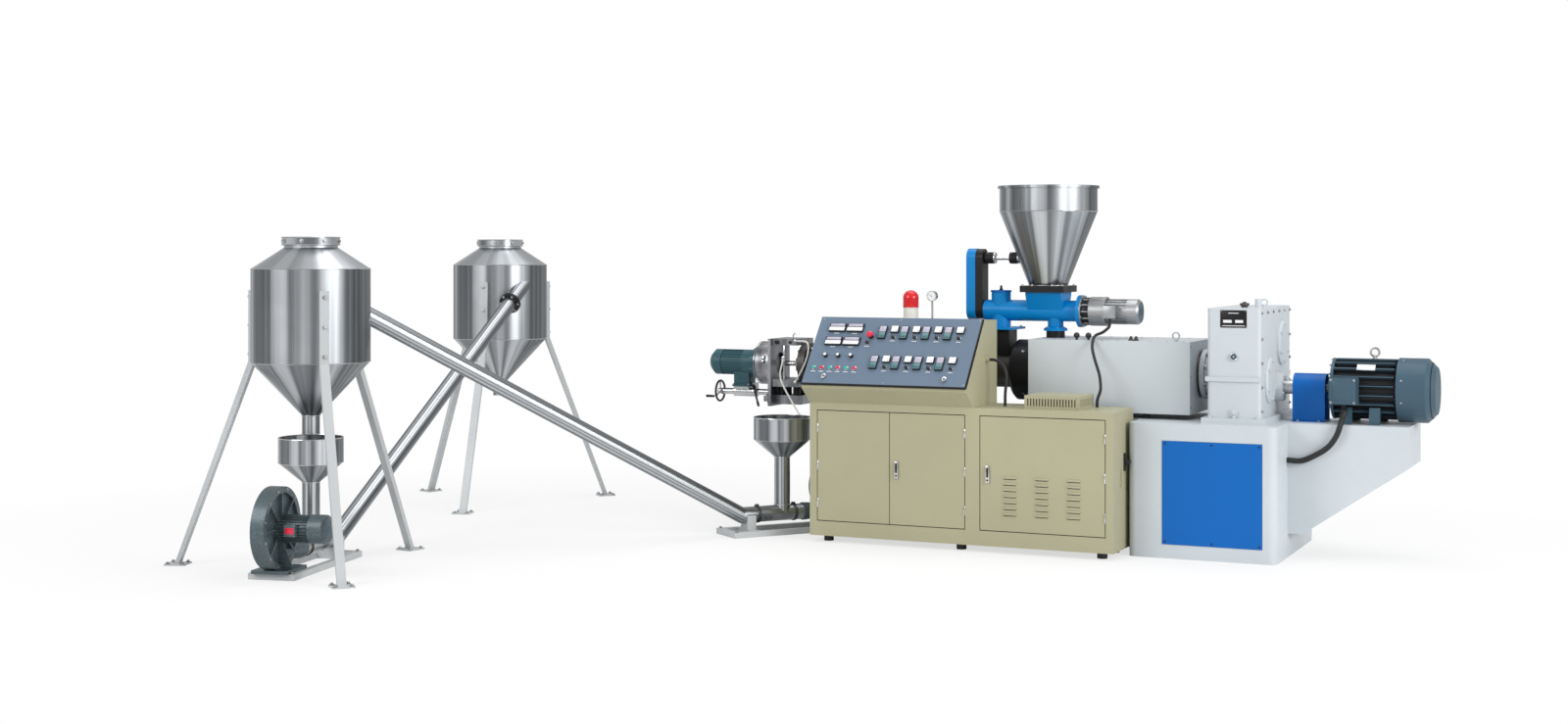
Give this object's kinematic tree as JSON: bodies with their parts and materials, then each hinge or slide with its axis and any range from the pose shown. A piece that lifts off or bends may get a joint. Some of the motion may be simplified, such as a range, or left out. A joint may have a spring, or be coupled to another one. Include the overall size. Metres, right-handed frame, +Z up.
{
  "type": "hot pelletizing machine",
  "caption": "Hot pelletizing plant: hopper-fed extruder with die-face cutter, control console and cabinet, two pneumatic conveying lines and two stainless storage silos",
  "frame": {"origin": "on the floor on the machine's centre plane, under the bed pedestal", "axes": "+X along the machine towards the main motor, +Z up, +Y away from the control cabinet"},
  "size_m": [7.313, 4.3265, 2.2],
  "materials": {
    "light_grey_paint": "satin",
    "blue_paint": "satin",
    "slate_paint": "satin",
    "teal_paint": "satin",
    "black_paint": "satin",
    "dark_steel": "rough",
    "bright_steel": "brushed",
    "grey_metal": "satin",
    "stainless": "brushed",
    "silver_paint": "satin",
    "beige_paint": "satin",
    "panel_paint": "satin",
    "instrument_plastic": "matte",
    "button_plastic": "gloss",
    "white_plastic": "matte",
    "red_plastic": "gloss",
    "black_plastic": "matte",
    "cable_rubber": "matte",
    "cast_aluminium": "cast",
    "gauge_metal": "gloss",
    "fan_paint": "hammertone"
  },
  "bodies": {
    "plant": {"bed": "light_grey_paint", "bed_rail": "light_grey_paint", "gearbox_housing": "light_grey_paint", "gearbox_covers": "light_grey_paint", "barrel_cover": "light_grey_paint", "bed_panels": "blue_paint", "coupling_guard": "blue_paint", "feeder_body": "blue_paint", "chain_guard": "blue_paint", "main_motor": "slate_paint", "main_motor_cowl": "slate_paint", "pipe_flange": "black_paint", "barrel_collar": "black_paint", "hopper_flange": "black_paint", "feed_ducts": "black_paint", "chain_guard_back": "black_paint", "barrel": "dark_steel", "die_head": "dark_steel", "guide_bar": "bright_steel", "cutter_frame": "grey_metal", "cutter_drum": "grey_metal", "hopper_cylinder": "stainless", "hopper_cone": "stainless", "silo_1_cylinder": "stainless", "silo_1_roof": "stainless", "silo_1_cone": "stainless", "silo_2_cylinder": "stainless", "silo_2_roof": "stainless", "silo_2_cone": "stainless", "silo_collars": "stainless", "funnel_1": "stainless", "funnel_2": "stainless", "conveying_pipe_1": "stainless", "conveying_pipe_2": "stainless", "feeder_gearmotor": "cast_aluminium", "silo_1_legs": "silver_paint", "silo_2_legs": "silver_paint", "line_bases": "silver_paint", "control_cabinet": "beige_paint", "console_housing": "beige_paint", "ventilated_box": "beige_paint", "beacon_base": "white_plastic", "beacon_dome": "red_plastic", "cabinet_feet": "black_plastic", "power_cables": "cable_rubber", "pressure_gauge": "gauge_metal", "fan_housings": "fan_paint", "fan_motors": "fan_paint"},
    "door_left": {"door_left": "beige_paint"},
    "door_middle": {"door_middle": "beige_paint"},
    "door_right": {"door_right": "beige_paint"},
    "panel": {"console_panel": "panel_paint", "panel_instruments": "instrument_plastic", "panel_buttons": "button_plastic"},
    "drive_shaft": {"drive_shaft": "bright_steel"},
    "agitator": {"agitator_shaft": "bright_steel"},
    "carriage": {"carriage": "bright_steel", "cutter_motor": "teal_paint"},
    "handwheel": {"handwheel": "black_plastic"}
  },
  "joints": [
    {"name": "door_left_hinge", "type": "hinge", "parent": "plant", "child": "door_left", "pos_m": [-2.307, -0.817, 0.4725], "axis": [0, 0, -1], "range_deg": [0, 110]},
    {"name": "door_middle_hinge", "type": "hinge", "parent": "plant", "child": "door_middle", "pos_m": [-1.35, -0.817, 0.4725], "axis": [0, 0, 1], "range_deg": [0, 110]},
    {"name": "door_right_hinge", "type": "hinge", "parent": "plant", "child": "door_right", "pos_m": [-0.49, -0.817, 0.4725], "axis": [0, 0, 1], "range_deg": [0, 110]},
    {"name": "panel_hinge", "type": "hinge", "parent": "plant", "child": "panel", "pos_m": [-1.8275, -0.6169, 1.3731], "axis": [-1, 0, 0], "range_deg": [0, 75]},
    {"name": "drive_shaft_turn", "type": "hinge", "parent": "plant", "child": "drive_shaft", "pos_m": [0.5, 0, 0.982], "axis": [1, 0, 0], "continuous": true},
    {"name": "agitator_turn", "type": "hinge", "parent": "plant", "child": "agitator", "pos_m": [-1.4, 0, 1.748], "axis": [1, 0, 0], "continuous": true},
    {"name": "carriage_slide", "type": "slide", "parent": "plant", "child": "carriage", "axis": [-1, 0, 0], "range_m": [0, 0.08]},
    {"name": "handwheel_turn", "type": "hinge", "parent": "plant", "child": "handwheel", "pos_m": [-3.389, 0, 0.848], "axis": [1, 0, 0], "continuous": true}
  ]
}
